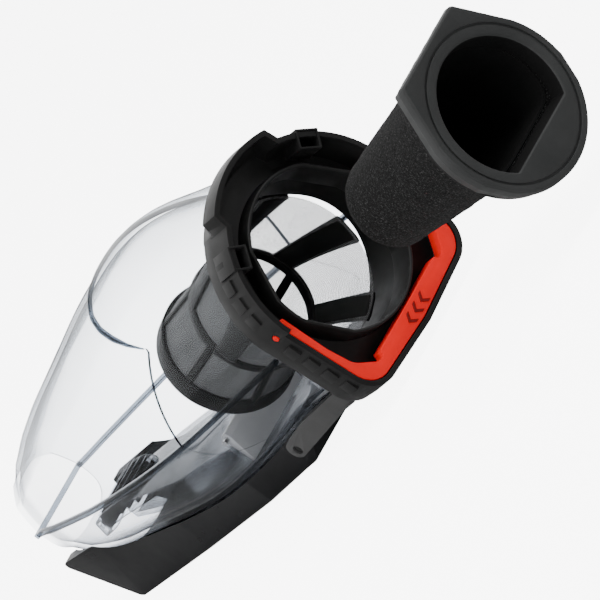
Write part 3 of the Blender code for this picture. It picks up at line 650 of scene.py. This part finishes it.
def make_inlet_duct():
    """The ribbed clear duct behind the nose, with its cross ribs and guide vanes."""
    outer_rings = []
    inner_rings = []
    for y, half_width, low, high in DUCT_STATIONS:
        outer_rings.append([(x * half_width, y, z) for x, z in ((-1, low), (1, low), (1, high), (-1, high))])
        thin = half_width - DUCT_WALL
        floor = low + DUCT_WALL
        roof = high - DUCT_WALL
        inner_rings.append([(x * thin, y, z) for x, z in ((-1, floor), (1, floor), (1, roof), (-1, roof))])
    duct = new_object("inlet_duct_clear", loft(outer_rings + inner_rings[::-1], closed=True))
    finish_piece(duct, CLEAR_VANE, "bowl", ("inlet_duct",), 0.5)
    rim = []
    for step in range(96):
        angle = math.tau * step / 96
        rim.append((VANE_HALF_WIDTH * math.cos(angle), VANE_CENTRE_Y + VANE_REACH * math.sin(angle)))
    crest = [vane_crest(y) for _, y in rim]
    wall_rings = []
    for wide, drop in VANE_WALL:
        wall_rings.append([(x * wide, VANE_CENTRE_Y + (y - VANE_CENTRE_Y) * wide, z - drop)
                           for (x, y), z in zip(rim, crest)])
    vanes = [loft(wall_rings, closed=True)]
    for step in range(CROSS_RIB_COUNT):
        y = VANE_CENTRE_Y - 19.5 + step * CROSS_RIB_PITCH
        half_width = 12.8 * math.sqrt(1 - ((y + 1.5 - VANE_CENTRE_Y) / VANE_REACH) ** 2)
        top = vane_crest(y) + 1.4
        profile = [(y, top - 8.0), (y + 1.1, top - 8.0), (y + 3.2, top), (y + 2.1, top)]
        vanes.append(along_x(profile, -half_width, half_width))
    for x in LONG_RIB_PLACES:
        places = [VANE_CENTRE_Y - 20.0 + step * 4.5 for step in range(10)]
        curve = [(y, vane_crest(y) - 1.6) for y in places]
        lower = [(y, z - 2.2) for y, z in reversed(curve)]
        vanes.append(along_x(curve + lower, x - 0.6, x + 0.6))
    vane_piece = new_object("duct_vanes", merged(vanes))
    finish_piece(vane_piece, CLEAR_VANE, "bowl", bevel=0.2, segments=2)


def make_bowl():
    half_bowl("bowl_dome", True, CLEAR, ("dust_bowl",))
    half_bowl("bowl_tray", False, CLEAR_TRAY, ("lower_tray",))
    belt_rim()
    shoulder_brow()
    make_inlet_duct()


# ---------------------------------------------------------------- filter cage

def collar_outline():
    lower = rounded([(-60, -52, 0), (0, -52.2, 0), (46.0, -49.6, 15), (51.4, 0, 0), (51, 20, 0)], 24)
    half = [(x, z) for x, z in lower if x >= 0 and z < -0.5]
    for step in range(56):
        angle = math.radians(1 + step)
        half.append((COLLAR_RADIUS * math.cos(angle), COLLAR_RADIUS * math.sin(angle)))
    half.append((25.8, 43.6))
    hood_start = math.acos(25.0 / HOOD_RADIUS)
    for step in range(20):
        angle = hood_start + (math.pi / 2 - hood_start) * step / 19
        half.append((HOOD_RADIUS * math.cos(angle), HOOD_RADIUS * math.sin(angle)))
    half[-1] = (0.0, HOOD_RADIUS)
    return densified(mirrored(half), 2.0)


def outline_x(z):
    if z > 0:
        return math.sqrt(COLLAR_RADIUS ** 2 - z * z)
    return COLLAR_RADIUS + 0.7 + z * 0.109


def clamped(point, radius):
    """Pulls a point of the upper outline in to the radius."""
    reach = math.hypot(*point)
    if point[1] < 20 or reach < radius:
        return point
    return (point[0] * radius / reach, point[1] * radius / reach)


BLOCK_ANGLES = (41.5, 32.0, 22.5, 13.0)
BLOCK_HEIGHTS = (-9.4, -18.8, -28.2, -37.6)
BLOCK_HALF_SIDE = 3.0
BLOCK_FRONT_Y = -9.4
BLOCK_REAR_Y = -2.8
RECESS_FRAME_ANGLES = (43, 137)
PIN_HOLE_RADIUS = 1.9


def frame_loop(out, across, low, high, half):
    """One rectangle of a recess frame, from the low to the high radius."""
    return [out * radius + across * shift
            for radius, shift in ((low, -half), (high, -half), (high, half), (low, half))]


def make_collar():
    outer = collar_outline()
    inner = inset(outer, COLLAR_WALL)
    hole = projected_circle(outer, OPENING_RADIUS + 1.9)
    slim = [clamped(point, COLLAR_RADIUS + 0.3) for point in outer]
    front_edge = inset(slim, 0.5)
    front_inner = inset(slim, COLLAR_WALL)
    mid = [((a[0] * 0.72 + b[0] * 0.28), (a[1] * 0.72 + b[1] * 0.28)) for a, b in zip(inner, hole)]
    near = [((a[0] * 0.3 + b[0] * 0.7), (a[1] * 0.3 + b[1] * 0.7)) for a, b in zip(inner, hole)]
    profile = ((front_edge, -18.0), (slim, -10.5), (outer, -7.0), (outer, 4.0), (inner, 4.0), (inner, -6.2),
               (mid, -10.8), (near, -10.6), (hole, -8.6), (hole, -12.4), (near, -13.2), (front_inner, -13.0),
               (front_inner, -18.0))
    collar = new_object("collar_shell", loft([at_y(outline, y) for outline, y in profile], closed=True))
    cut(collar, block(-60, 60, 0.4, 10, -60, -2))
    blocks = []
    for side in (1, -1):
        for degrees in BLOCK_ANGLES:
            turn = math.radians(degrees)
            out = Vector((side * math.cos(turn), math.sin(turn)))
            across = Vector((-out.y, out.x))
            loop = [out * radius + across * shift
                    for radius, shift in ((48.8, -BLOCK_HALF_SIDE), (51.6, -BLOCK_HALF_SIDE),
                                          (51.6, BLOCK_HALF_SIDE), (48.8, BLOCK_HALF_SIDE))]
            blocks.append(loft([[(point.x, y, point.y) for point in loop]
                                for y in (BLOCK_FRONT_Y, BLOCK_REAR_Y)]))
        for z in BLOCK_HEIGHTS:
            edge = outline_x(z)
            low, high = sorted((side * (edge - 2.6), side * (edge + 0.8)))
            blocks.append(block(low, high, BLOCK_FRONT_Y, BLOCK_REAR_Y, z - BLOCK_HALF_SIDE,
                                z + BLOCK_HALF_SIDE))
    cut(collar, merged(blocks), "UNION")
    cut(collar, merged([rod_x(BAIL_PIVOT, PIN_HOLE_RADIUS, low, low + 16) for low in (-56, 40)]))
    finish_piece(collar, SATIN, "cage", ("cage_collar",), 0.45)
    frames = []
    for angle in RECESS_FRAME_ANGLES:
        turn = math.radians(angle)
        out = Vector((math.cos(turn), math.sin(turn)))
        across = Vector((-out.y, out.x))
        big = frame_loop(out, across, 42.6, 51.6, 5.4)
        small = frame_loop(out, across, 43.5, 50.7, 4.5)
        frames.append(loft([[(p.x, y, p.y) for p in loop]
                            for loop, y in ((big, -9.0), (big, 4.6), (small, 4.6), (small, -9.0))],
                           closed=True))
    pieces = new_object("collar_frames", merged(frames))
    finish_piece(pieces, SATIN, "cage", bevel=0.18, segments=2)


def opening_ring(radius, sides=144):
    points = []
    for across, up in circle(radius, sides):
        angle = math.degrees(math.atan2(up, abs(across)))
        for low, high in ((10, 50), (-45, -9)):
            if low < angle < high:
                middle = math.radians((low + high) / 2)
                turn = math.radians(angle) - middle
                span = min(radius, (radius - 1.8) / math.cos(turn))
                across, up = (math.copysign(span * math.cos(math.radians(angle)), across),
                              span * math.sin(math.radians(angle)))
        points.append((across, up))
    return points


def make_funnel():
    inner = opening_ring(OPENING_RADIUS)
    lip = opening_ring(OPENING_RADIUS + 0.9)
    outer = opening_ring(OPENING_RADIUS + 1.6)

    def scalloped(radius, extra=0.0):
        points = []
        for x, z in circle(radius, 144):
            angle = math.atan2(z, x)
            points.append((x, -35.0 + 6.0 * math.cos(2 * angle) + extra, z))
        return points

    rings = [at_y(inner, -0.5), at_y(lip, 0.0), at_y(outer, -0.5), at_y(outer, -13.2),
             at_y(circle(41.4, 144), -14.4), at_y(circle(42.0, 144), -15.6),
             scalloped(38.6, 0.8), scalloped(38.2), scalloped(36.8),
             at_y(circle(39.4, 144), -17), at_y(inner, -15.2)]
    funnel = new_object("funnel_skirt", loft(rings, closed=True))
    finish_piece(funnel, SATIN, "cage", ("cage_funnel",), 0.2, segments=2)


def cage_point(angle, along):
    stops = (SKIRT_STOP, HOOP_STOP, CUP_STOP)
    low = min(int(along), 1)
    share = along - low
    y, z, tilt, radius = [a + (b - a) * share for a, b in zip(stops[low], stops[low + 1])]
    lean = math.radians(tilt)
    up = radius * math.sin(angle)
    return Vector((radius * math.cos(angle), y - up * math.sin(lean), z + up * math.cos(lean)))


def mesh_cone(along_low, along_high, sides=144):
    rings = []
    for along, grow in ((along_low, 0), (along_high, 0), (along_high, 0.5), (along_low, 0.5)):
        ring = []
        for step in range(sides):
            angle = math.tau * step / sides
            outward = Vector((math.cos(angle), 0, math.sin(angle)))
            ring.append(tuple(cage_point(angle, along) + outward * grow))
        rings.append(ring)
    return loft(rings, closed=True)


def rib(angle, along_low, along_high, half_widths, thickness, swirl=0.0, steps=20):
    """A rib on the mesh: its width runs from the first half width to the second, and it may swirl."""
    rings = []
    for step in range(steps + 1):
        share = step / steps
        turn = angle + math.radians(swirl) * share
        outward = Vector((math.cos(turn), 0, math.sin(turn)))
        across = Vector((-math.sin(turn), 0, math.cos(turn)))
        along = along_low + (along_high - along_low) * share
        half = half_widths[0] + (half_widths[1] - half_widths[0]) * math.sin(share * math.pi / 2)
        foot = cage_point(turn, along) + outward * -0.4
        rings.append([tuple(foot + across * side * half + outward * up)
                      for side, up in ((-1, 0), (1, 0), (1.0, thickness * 0.75), (0.6, thickness),
                                       (-0.6, thickness), (-1.0, thickness * 0.75))])
    return loft(rings)


def tilted_ring(centre, tilt, radius, shift=0.0, sides=128):
    lean = math.radians(tilt)
    points = []
    for across, up in circle(radius, sides):
        y = centre[0] - up * math.sin(lean) - shift * math.cos(lean)
        z = centre[1] + up * math.cos(lean) - shift * math.sin(lean)
        points.append((across, y, z))
    return points


def make_basket():
    for name, low, high, node in (("upper_screen", 0.08, 0.93, "upper_mesh"),
                                  ("lower_screen", 1.07, 1.82, "lower_mesh")):
        screen = new_object(name, mesh_cone(low, high))
        finish_piece(screen, SCREEN, "cage", (node,))
    angles = [math.radians(15 + 60 * step) for step in range(6)]
    hoop = [tilted_ring(HOOP_STOP[:2], HOOP_STOP[2], radius, shift)
            for radius, shift in ((27.8, -3.0), (27.8, 3.0), (26.0, 3.0), (26.0, -3.0))]
    parts = [loft(hoop, closed=True)]
    parts += [rib(angle, 0.1, 0.98, (7.2, 5.2), 2.4, -14.0) for angle in angles]
    hoop_piece = new_object("hoop_and_ribs", merged(parts))
    finish_piece(hoop_piece, SATIN, "cage", ("middle_frame",), 0.35, segments=2)
    cup_profile = ((0.3, 6.5), (26.0, 6.5), (28.6, 6.0), (30.0, 4.0), (30.0, -6.5), (28.2, -6.5), (28.2, 3.3),
                   (25.8, 4.7), (0.3, 4.7))
    rings = [tilted_ring(CUP_STOP[:2], CUP_STOP[2], radius, shift) for radius, shift in cup_profile]
    parts = [loft(rings)] + [rib(angle, 1.03, 1.93, (2.0, 2.0), 2.0) for angle in angles]
    cup = new_object("cup_and_ribs", merged(parts))
    finish_piece(cup, SATIN, "cage", ("basket_cup",), 0.35, segments=2)


def ordered(points):
    """Follows the outline from the middle outwards and up the rounded corner, by angle."""
    return sorted(points, key=lambda point: math.atan2(point[1], point[0]))


def make_bail():
    boundary = [(x, z) for x, z in inset(collar_outline(), COLLAR_WALL + 0.5) if z < 3.0]
    right_outer = [(x, z) for x, z in boundary if x > 0]
    floor_part = sorted([point for point in right_outer if point[1] < -30], key=lambda point: point[0])
    rising = sorted([point for point in right_outer if point[1] >= -30], key=lambda point: point[1])
    inner = rounded([(50, 3.4, 0), (43.4, 3.4, 1.4), (42.4, -20, 12), (40.2, -33, 9), (31.5, -42.4, 4),
                     (27.8, -42.4, 1), (27.0, -40.0, 1), (-30, -40.0, 0)], 8)
    inner = [(x, z) for x, z in inner if 0 < x < 44]
    half = [(0.0, min(z for _, z in boundary))] + ordered(floor_part) + rising[:-1] + [(47.6, 3.4)] + inner
    outline = half + [(-x, z) for x, z in reversed(half) if x > 0.01]
    bail = new_object("bail_bar", along_y(outline, -7.0, 0.0))
    finish_piece(bail, RED, "bail", ("pull_bail",), 0.7)
    chevrons = []
    for x in (-9.0, -3.0, 3.0):
        chevrons.append(along_y([(x, -47.6), (x + 1.9, -47.6), (x + 4.6, -44.8), (x + 1.9, -42.0),
                                 (x, -42.0), (x + 2.7, -44.8)], -0.3, 0.28))
    marks = new_object("bail_chevrons", merged(chevrons))
    # The raised chevrons take the dark red: painted shade on the embossed mark.
    finish_piece(marks, RED_SHADE, "bail", ("bail_mark",), 0.1, segments=1)
    for side, name in ((1, "right"), (-1, "left")):
        low, high = sorted((side * 43.2, side * 50.9))
        pin = new_object("bail_pin_round_" + name, rod_x(BAIL_PIVOT, 1.5, low, high))
        finish_piece(pin, RED, "cage", ("bail_pin_" + name,), 0.3)


# ---------------------------------------------------------------- filter sleeve and flange

def d_section(radius, centre_z, flat_z, sides=180, softness=3.0):
    points = []
    for across, up in circle(radius, sides):
        rise = centre_z + up - flat_z
        points.append((across, flat_z + 0.5 * (rise + math.hypot(rise, softness))))
    return points


SLEEVE_RADIUS = 33.2
SLEEVE_TAPER = 12.6
SLEEVE_CENTRE_Z = 2.0
SLEEVE_CENTRE_DROP = 3.4
SLEEVE_FLAT_Z = -21.4
SLEEVE_WALL = 3.0
LINER_PLACES = (0.0, 0.3, 0.6, 0.75)
LINER_OUTER = 3.4
LINER_INNER = 4.4


def sleeve_section(share, shrink=0.0):
    return d_section(SLEEVE_RADIUS - SLEEVE_TAPER * share - shrink,
                     SLEEVE_CENTRE_Z - SLEEVE_CENTRE_DROP * share, SLEEVE_FLAT_Z + shrink)


def make_sleeve():
    front = FLANGE_REAR_Y - FLANGE_DEPTH
    length = front - SLEEVE_END_Y
    rings = []
    for step in range(91):
        share = step / 96
        rings.append(at_y(sleeve_section(share), front - length * share))
    for step in range(1, 9):
        turn = math.pi / 2 * step / 8
        y = front - length * (90 / 96) - (length * 6 / 96) * math.sin(turn)
        rings.append(at_y(sleeve_section(0.955, 6.5 * (1 - math.cos(turn))), y))
    inner = [at_y(sleeve_section(step / 20 * 0.93, SLEEVE_WALL), front - length * step / 20 * 0.93)
             for step in range(21)]
    sleeve = new_object("felt_sleeve", loft(inner[::-1] + rings))
    for vertex in sleeve.data.vertices:
        ripple = noise.noise(vertex.co * 260.0) * 0.16 + noise.noise(vertex.co * 90.0) * 0.22
        vertex.co += vertex.normal * ripple * MM
    finish_piece(sleeve, FELT, "sleeve", ("filter_sleeve",), sharp=60.0)
    core_out = [at_y(sleeve_section(share, LINER_OUTER), front - length * share) for share in LINER_PLACES]
    core_in = [at_y(sleeve_section(share, LINER_INNER), front - length * share) for share in LINER_PLACES]
    core = new_object("liner_tube", loft(core_out + core_in[::-1], closed=True))
    finish_piece(core, LINER, "sleeve", ("sleeve_core",))


def flange_outline():
    half = []
    start = -math.pi / 2
    end = math.atan2(-22.6, 33.0)
    for step in range(33):
        angle = start + (end - start) * step / 32
        half.append((39.6 * math.cos(angle), 39.6 * math.sin(angle)))
    half[0] = (0.0, -39.6)
    half.append((38.2, -11.0))
    for degrees in range(-12, 23, 2):
        angle = math.radians(degrees)
        half.append((39.5 * math.cos(angle), 39.5 * math.sin(angle)))
    half += [(24.6, 39.0), (23.4, 40.0), (0.0, 40.0)]
    return densified(mirrored(half), 1.6)


def make_flange():
    outline = flange_outline()
    rear = FLANGE_REAR_Y
    front = rear - FLANGE_DEPTH

    def hole(radius, flat_z):
        points = []
        for x, z in projected_circle(outline, 1.0):
            reach = radius
            if z < 0 and flat_z / z < radius:
                reach = flat_z / z
            points.append((x * reach, z * reach))
        return points

    groove_out = projected_circle(outline, 36.4)
    groove_in = projected_circle(outline, 35.2)
    profile = ((outline, rear - 0.8), (inset(outline, 0.8), rear), (groove_out, rear),
               (groove_out, rear - 1.0), (groove_in, rear - 1.0), (groove_in, rear - 0.2),
               (hole(31.2, -21.0), rear - 0.2), (hole(30.4, -20.2), rear - 0.9),
               (hole(30.2, -20.0), rear - 3.0), (hole(29.6, -18.8), front),
               (inset(outline, 1.2), front), (inset(outline, 0.6), rear - 5.4), (outline, rear - 5.0))
    flange = new_object("flange_plate", loft([at_y(shape, y) for shape, y in profile], closed=True))
    tabs = [block(x - 1.6, x + 1.6, front + 1.2, rear - 5.6, 36.0, 39.3) for x in (-15, -5, 5, 15)]
    cut(flange, merged(tabs), "UNION")
    finish_piece(flange, FLANGE, "sleeve", ("filter_flange",), 0.3, sharp=26.0)
    # The faces inside the flange's bore take the near-black liner colour instead of the flange's grey:
    # painted shade in the hole.
    flange.data.materials.append(LINER)
    for face in flange.data.polygons:
        place = (face.center - RIM) / MM
        if math.hypot(place.x, place.z) < 33.0 and place.y < rear - 0.9:
            face.material_index = 1
    seal = [at_y(circle(radius, 128), y)
            for radius, y in ((38.2, front - 0.2), (38.2, front - 1.0), (37.6, front - 1.3),
                              (36.8, front - 1.0), (36.8, front - 0.2))]
    ring = new_object("flange_gasket", loft(seal, closed=True))
    finish_piece(ring, RUBBER, "sleeve", ("flange_seal",))


# ---------------------------------------------------------------- bracket, shoe, flap

def make_bracket():
    arm = rounded([(-82.8, -51.4, 4.6), (-34, -46.6, 3), (-24, -44.4, 1.5), (-24, -37.4, 1),
                   (-60, -38.6, 8), (-82.8, -42.4, 4.6)], 12)
    bracket = new_object("bracket_u", along_x(arm, 36.0, 40.0))
    cut(bracket, along_x(arm, -40.0, -36.0), "UNION")
    cut(bracket, block(-37, 37, -40, -28, -47.4, -45.2), "UNION")
    cut(bracket, rod_x(SHOE_PIVOT, 2.3, -45, 45))
    finish_piece(bracket, BRACKET, "bowl", ("rear_bracket",), 0.5)
    for side, name in ((1, "right"), (-1, "left")):
        low, high = sorted((side * 31.0, side * 39.4))
        pin = new_object("hinge_pin_round_" + name, rod_x(SHOE_PIVOT, 2.0, low, high))
        finish_piece(pin, SATIN, "bowl", ("hinge_pin_" + name,), 0.3)


def solid_bowl(grow):
    rings = []
    steps = 48
    angles = [math.pi * step / steps for step in range(steps + 1)]
    for step in range(60):
        y = REAR_Y + (NOSE_Y - grow - REAR_Y) * step / 59
        inside = max(y, NOSE_Y)
        upper = [bowl_point(inside, a, True, grow, y) for a in angles]
        lower = [bowl_point(inside, a, False, grow, y) for a in angles[::-1]]
        rings.append(upper + lower[1:-1])
    return loft(rings)


def make_shoe():
    right = [(27, -276, 5), (31, -240, 0), (37, -180, 0), (40, -120, 8), (36.5, -90, 0), (35.4, -72, 0)]
    plan = rounded(right + [(-x, y, radius) for x, y, radius in reversed(right)], 10)
    side_profile = rounded([(-252, FLOOR_Z, 5.0), (-80.5, FLOOR_Z, 3.5), (-71.5, -48, 4.5), (-76, -41.5, 3),
                            (-100, -36, 2), (-200, -26, 2), (-274, -24, 2)], 10)
    shoe = new_object("floor_shoe", along_x(side_profile, -45, 45))
    cut(shoe, loft([[(x, y, z) for x, y in plan] for z in (-65.0, -15.0)]), "INTERSECT")
    cut(shoe, solid_bowl(0.7))
    pocket = [(26, -228), (33, -180), (36, -120), (31, -92)]
    pocket = pocket + [(-x, y) for x, y in reversed(pocket)]
    cut(shoe, loft([[(x, y, z) for x, y in pocket] for z in (-54.4, -20.0)]))
    mouth = [(-285, -27), (-262, -54), (-240, -54), (-233, -50), (-233, -22), (-262, -15)]
    cut(shoe, along_x(mouth, -22, 22))
    cut(shoe, block(-31.0, 31.0, -89, -60, -50, -30))
    cut(shoe, rod_x(SHOE_PIVOT, 2.3, -45, 45))
    finish_piece(shoe, SHOE, "shoe", ("nozzle_shoe",), 0.6, sharp=28.0)


def make_flap():
    profile = rounded([(-127.6, -43.4, 0.4), (-126.0, -43.4, 0.4), (-123.4, -28.5, 2.0),
                       (-124.6, -25.9, 1.2), (-127.4, -25.9, 1.2), (-128.6, -28.5, 1.0)], 8)
    flap = new_object("flap_plate", along_x(profile, -24.0, 24.0))
    finish_piece(flap, GLOSS, "flap", ("inlet_flap",), 0.3)


def paint_kept_nodes():
    """CAD nodes whose shape is right stay, with a better finish."""
    finishes = {"bowl_seal": RUBBER, "flap_pin": STEEL, "flap_seal": RUBBER, "nozzle_lip": RUBBER,
                "bracket_screw_right": STEEL, "bracket_screw_left": STEEL}
    for name, material in finishes.items():
        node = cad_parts[name]
        node.data.materials.clear()
        node.data.materials.append(material)


# ---------------------------------------------------------------- stage, light and camera

def make_stage():
    mesh = bpy.data.meshes.new("floor")
    reach = 30.0
    mesh.from_pydata([(-reach, -reach, 0), (reach, -reach, 0), (reach, reach, 0), (-reach, reach, 0)], [],
                     [[0, 1, 2, 3]])
    floor = bpy.data.objects.new("floor", mesh)
    bpy.context.scene.collection.objects.link(floor)
    material, nodes, links, shader = new_material("pale_floor")
    shader.inputs["Base Color"].default_value = (0.9, 0.9, 0.9, 1.0)
    shader.inputs["Roughness"].default_value = 0.9
    shader.inputs["Emission Color"].default_value = (1.0, 1.0, 1.0, 1.0)
    path = nodes.new("ShaderNodeLightPath")
    strength = nodes.new("ShaderNodeMapRange")
    strength.inputs["To Min"].default_value = 0.12
    strength.inputs["To Max"].default_value = 7.0
    links.new(path.outputs["Is Camera Ray"], strength.inputs["Value"])
    links.new(strength.outputs["Result"], shader.inputs["Emission Strength"])
    mesh.materials.append(material)
    world = bpy.data.worlds.new("studio")
    world.use_nodes = True
    background = world.node_tree.nodes["Background"]
    background.inputs["Color"].default_value = (1.0, 1.0, 1.0, 1.0)
    path = world.node_tree.nodes.new("ShaderNodeLightPath")
    strength = world.node_tree.nodes.new("ShaderNodeMapRange")
    strength.inputs["To Min"].default_value = 0.10
    strength.inputs["To Max"].default_value = 2.4
    world.node_tree.links.new(path.outputs["Is Glossy Ray"], strength.inputs["Value"])
    world.node_tree.links.new(strength.outputs["Result"], background.inputs["Strength"])
    bpy.context.scene.world = world


CAMERA_RIGHT = Vector((-0.4136, 0.4455, -0.7940))
CAMERA_UP = Vector((-0.7228, 0.3696, 0.5839))
LENS_MM = 1500.0
SENSOR_MM = 36.0
IMAGE_PX = 600.0
SCALE_PX = 2.4
AIM_OFFSET_MM = (-12.9, -22.1)


def make_camera():
    right = CAMERA_RIGHT.normalized()
    back = right.cross(CAMERA_UP).normalized()
    up = back.cross(right)
    distance = LENS_MM / SENSOR_MM * IMAGE_PX / SCALE_PX * MM
    target = RIM + (right * AIM_OFFSET_MM[0] + up * AIM_OFFSET_MM[1]) * MM
    data = bpy.data.cameras.new("camera")
    data.lens = LENS_MM
    data.sensor_width = SENSOR_MM
    data.clip_end = 100.0
    camera = bpy.data.objects.new("camera", data)
    turn = Matrix((right, up, back)).transposed().to_4x4()
    camera.matrix_world = Matrix.Translation(target + back * distance) @ turn
    bpy.context.scene.collection.objects.link(camera)
    bpy.context.scene.camera = camera
    return target


def make_light(name, target, direction, distance, size, power):
    data = bpy.data.lights.new(name, "AREA")
    data.shape = "SQUARE"
    data.size = size
    data.energy = power
    lamp = bpy.data.objects.new(name, data)
    way = direction.normalized()
    lamp.location = target + way * distance
    lamp.rotation_euler = way.to_track_quat("Z", "Y").to_euler()
    bpy.context.scene.collection.objects.link(lamp)


def make_lights(target):
    make_light("key", target, Vector((0.1, 0.45, 1.0)), 1.3, 0.8, 13)
    make_light("side", target, Vector((1.0, 0.5, 0.35)), 1.3, 0.6, 7)
    make_light("rear", target, Vector((-0.8, 0.3, 0.7)), 1.4, 0.6, 6)


make_bowl()
make_collar()
make_funnel()
make_basket()
make_bail()
make_sleeve()
make_flange()
make_bracket()
make_shoe()
make_flap()
paint_kept_nodes()
make_stage()
make_lights(make_camera())
